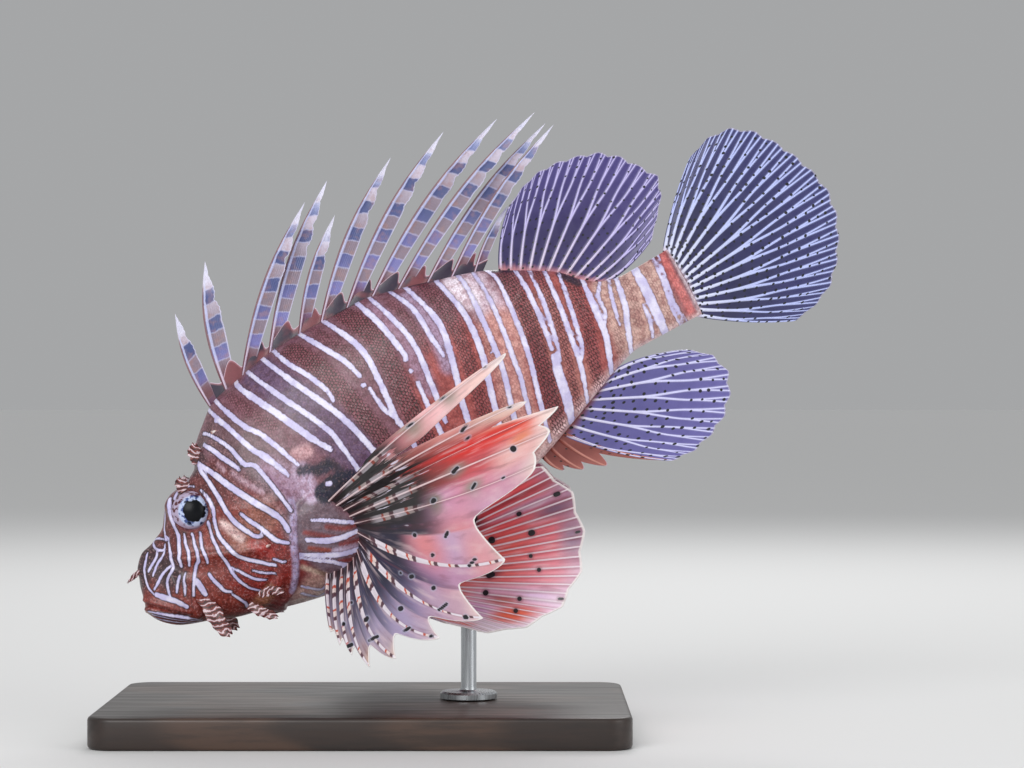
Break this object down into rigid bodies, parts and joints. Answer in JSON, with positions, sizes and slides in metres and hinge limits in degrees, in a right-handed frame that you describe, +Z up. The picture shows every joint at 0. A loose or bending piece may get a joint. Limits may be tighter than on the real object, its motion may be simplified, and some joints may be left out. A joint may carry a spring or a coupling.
{
  "type": "red lionfish",
  "caption": "Life-size still model of a red lionfish swimming nose down, with spread banded fins and long back spines, on a flat base with one rod.",
  "frame": {"origin": "middle of the underside of the stand's base", "axes": "+Z up, +X from the fish's snout towards its tail in plan, -Y to its left side"},
  "size_m": [0.284, 0.1724, 0.2387],
  "materials": {
    "body_skin": "scaled skin, maroon bands between pale lavender lines",
    "jaw_skin": "smooth red-brown skin with thin pale lines",
    "spine_blade": "spines banded in grey-blue and beige, with thin dark web at the feet",
    "dark_fin_web": "purple-grey web with pale blue rays and small black dots",
    "pectoral_blade": "pink and lavender web, red streaks, dark banded rays",
    "red_fin_web": "pink-red web with fine white rays and black spots",
    "eye": "glossy dark pupil in a pale mottled iris",
    "stand_wood": "dark stained, satin",
    "stand_steel": "brushed"
  },
  "bodies": {
    "root": {"head": "body_skin", "torso": "body_skin", "tail": "body_skin", "lower_jaw": "jaw_skin", "spiny_dorsal_fin": "spine_blade", "soft_dorsal_fin": "dark_fin_web", "tail_fin": "dark_fin_web", "anal_fin": "dark_fin_web", "pectoral_fin_left": "pectoral_blade", "pectoral_fin_right": "pectoral_blade", "pelvic_fin_left": "red_fin_web", "pelvic_fin_right": "red_fin_web", "eye_left": "eye", "eye_right": "eye", "stand_base": "stand_wood", "stand_rod": "stand_steel"}
  },
  "joints": []
}
